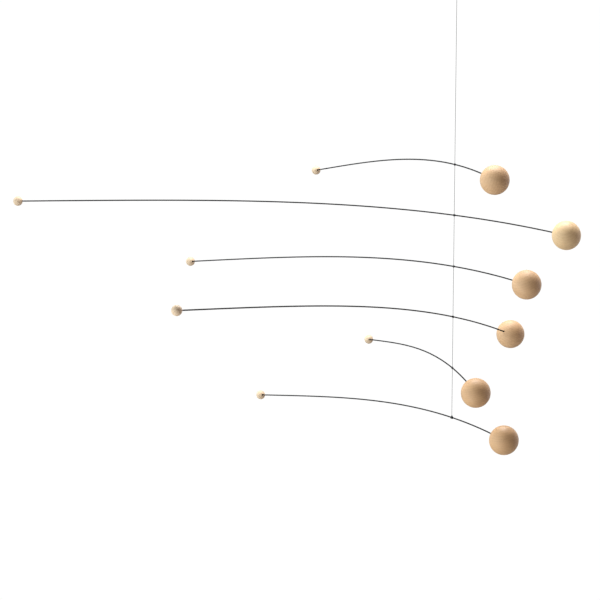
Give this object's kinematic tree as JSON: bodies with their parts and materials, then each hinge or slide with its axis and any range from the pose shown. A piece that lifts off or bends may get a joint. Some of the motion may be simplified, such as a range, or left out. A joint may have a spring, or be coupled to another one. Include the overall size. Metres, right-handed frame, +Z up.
{
  "type": "hanging mobile sculpture",
  "caption": "Hanging mobile of bent wire arms, one below another on a thread, each balanced between a large wooden ball and a small wooden bead and free to turn.",
  "frame": {"origin": "centre of the ceiling button's flat top face, where the mobile is fixed to a ceiling", "axes": "+Z up, along the thread; the arms lie level around it, and -Y is the side that the picture was taken from"},
  "size_m": [0.7008, 1.0727, 0.5698],
  "materials": {
    "ball_wood": "satin",
    "bead_wood": "satin",
    "button_wood": "satin",
    "wire_steel": "satin",
    "thread_nylon": "satin",
    "knot_cord": "matte"
  },
  "bodies": {
    "hanger": {"ceiling_button": "button_wood", "thread_1": "thread_nylon"},
    "arm_1": {"wire_1": "wire_steel", "ball_1": "ball_wood", "bead_1": "bead_wood", "knot_1": "knot_cord", "thread_2": "thread_nylon"},
    "arm_2": {"wire_2": "wire_steel", "ball_2": "ball_wood", "bead_2": "bead_wood", "knot_2": "knot_cord", "thread_3": "thread_nylon"},
    "arm_3": {"wire_3": "wire_steel", "ball_3": "ball_wood", "bead_3": "bead_wood", "knot_3": "knot_cord", "thread_4": "thread_nylon"},
    "arm_4": {"wire_4": "wire_steel", "ball_4": "ball_wood", "bead_4": "bead_wood", "knot_4": "knot_cord", "thread_5": "thread_nylon"},
    "arm_5": {"wire_5": "wire_steel", "ball_5": "ball_wood", "bead_5": "bead_wood", "knot_5": "knot_cord", "thread_6": "thread_nylon"},
    "arm_6": {"wire_6": "wire_steel", "ball_6": "ball_wood", "bead_6": "bead_wood", "knot_6": "knot_cord"}
  },
  "joints": [
    {"name": "arm_1_turn", "type": "hinge", "parent": "hanger", "child": "arm_1", "pos_m": [0, 0, -0.225], "axis": [0, 0, 1], "continuous": true},
    {"name": "arm_2_turn", "type": "hinge", "parent": "arm_1", "child": "arm_2", "pos_m": [0, 0, -0.2864], "axis": [0, 0, 1], "continuous": true},
    {"name": "arm_3_turn", "type": "hinge", "parent": "arm_2", "child": "arm_3", "pos_m": [0, 0, -0.3484], "axis": [0, 0, 1], "continuous": true},
    {"name": "arm_4_turn", "type": "hinge", "parent": "arm_3", "child": "arm_4", "pos_m": [0, 0, -0.4094], "axis": [0, 0, 1], "continuous": true},
    {"name": "arm_5_turn", "type": "hinge", "parent": "arm_4", "child": "arm_5", "pos_m": [0, 0, -0.4714], "axis": [0, 0, 1], "continuous": true},
    {"name": "arm_6_turn", "type": "hinge", "parent": "arm_5", "child": "arm_6", "pos_m": [0, 0, -0.5314], "axis": [0, 0, 1], "continuous": true}
  ]
}
